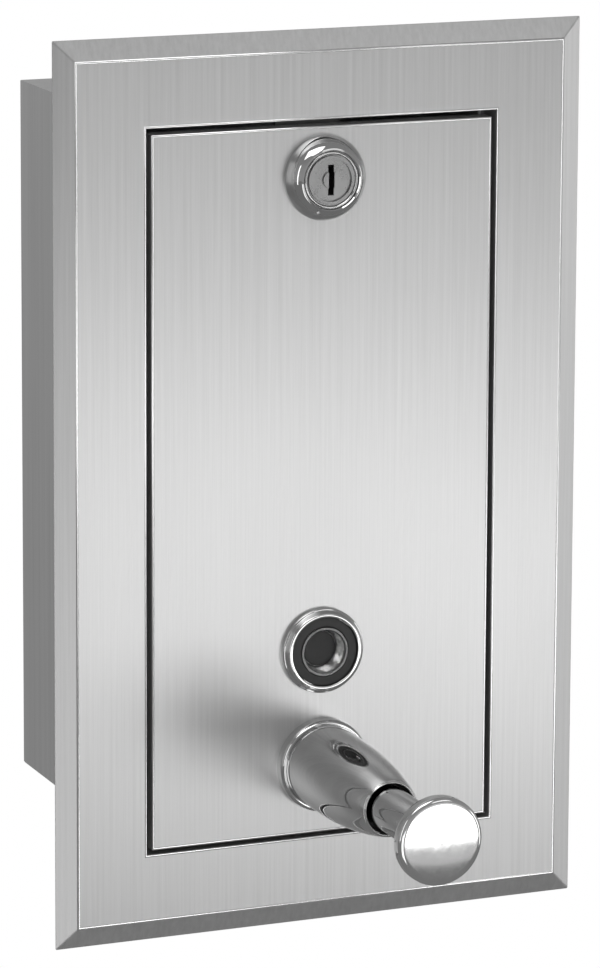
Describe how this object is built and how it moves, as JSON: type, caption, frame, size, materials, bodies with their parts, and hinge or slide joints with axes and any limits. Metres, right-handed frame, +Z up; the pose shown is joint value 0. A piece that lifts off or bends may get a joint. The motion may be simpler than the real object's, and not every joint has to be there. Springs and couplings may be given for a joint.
{
  "type": "recessed soap dispenser",
  "caption": "Wall-recessed soap dispenser: bevelled steel flange, tilt-out locking door carrying a soap tank, sight glass, and a push-knob spout.",
  "frame": {"origin": "centre of the face flange on the wall plane", "axes": "+Z up, +Y into the wall, +X to the right as seen from the front; the front faces -Y"},
  "size_m": [0.1484, 0.1767, 0.24],
  "materials": {
    "satin_steel": "satin, fine vertical grain",
    "box_steel": "dull mill finish",
    "chrome": "polished plating",
    "lock_metal": "plain turned",
    "tank_plastic": "moulded polyethylene",
    "valve_plastic": "moulded",
    "black_rubber": "matt",
    "clear_acrylic": "clear",
    "spring_wire": "drawn wire"
  },
  "bodies": {
    "housing": {"face_flange": "satin_steel", "recess_box": "box_steel", "box_back": "box_steel", "lock_keeper": "box_steel", "hinge_bracket_left": "box_steel", "hinge_bracket_right": "box_steel", "hinge_pin_left": "box_steel", "hinge_pin_right": "box_steel", "stop_stud": "box_steel"},
    "door": {"door_panel": "satin_steel", "hinge_ear_left": "box_steel", "hinge_ear_right": "box_steel", "stay_quadrant": "box_steel", "lock_bezel": "chrome", "sight_bezel": "chrome", "spout": "chrome", "lock_barrel": "lock_metal", "lock_nut": "lock_metal", "sight_nut": "lock_metal", "valve_nut": "lock_metal", "soap_tank": "tank_plastic", "tank_cover": "tank_plastic", "valve_body": "valve_plastic", "rod_bush": "valve_plastic", "sight_gasket": "black_rubber", "sight_washer": "black_rubber", "valve_washer": "black_rubber", "inlet_valve": "black_rubber", "sight_lens": "clear_acrylic", "return_spring": "spring_wire"},
    "lock": {"lock_plug": "chrome", "lock_cam": "lock_metal", "cam_screw": "lock_metal"},
    "plunger": {"push_knob": "chrome", "plunger_rod": "chrome", "piston_seal": "black_rubber"}
  },
  "joints": [
    {"name": "door_tilt", "type": "hinge", "parent": "housing", "child": "door", "pos_m": [0, 0.0018, -0.0851], "axis": [1, 0, 0], "range_deg": [0, 35]},
    {"name": "lock_turn", "type": "hinge", "parent": "door", "child": "lock", "pos_m": [0, 0, 0.081], "axis": [0, -1, 0], "range_deg": [0, 90]},
    {"name": "plunger_push", "type": "slide", "parent": "door", "child": "plunger", "axis": [0, 1, 0], "range_m": [0, 0.015], "stiffness_N_per_m": 250, "springref_m": -0.01, "deforming": ["return_spring"]}
  ]
}
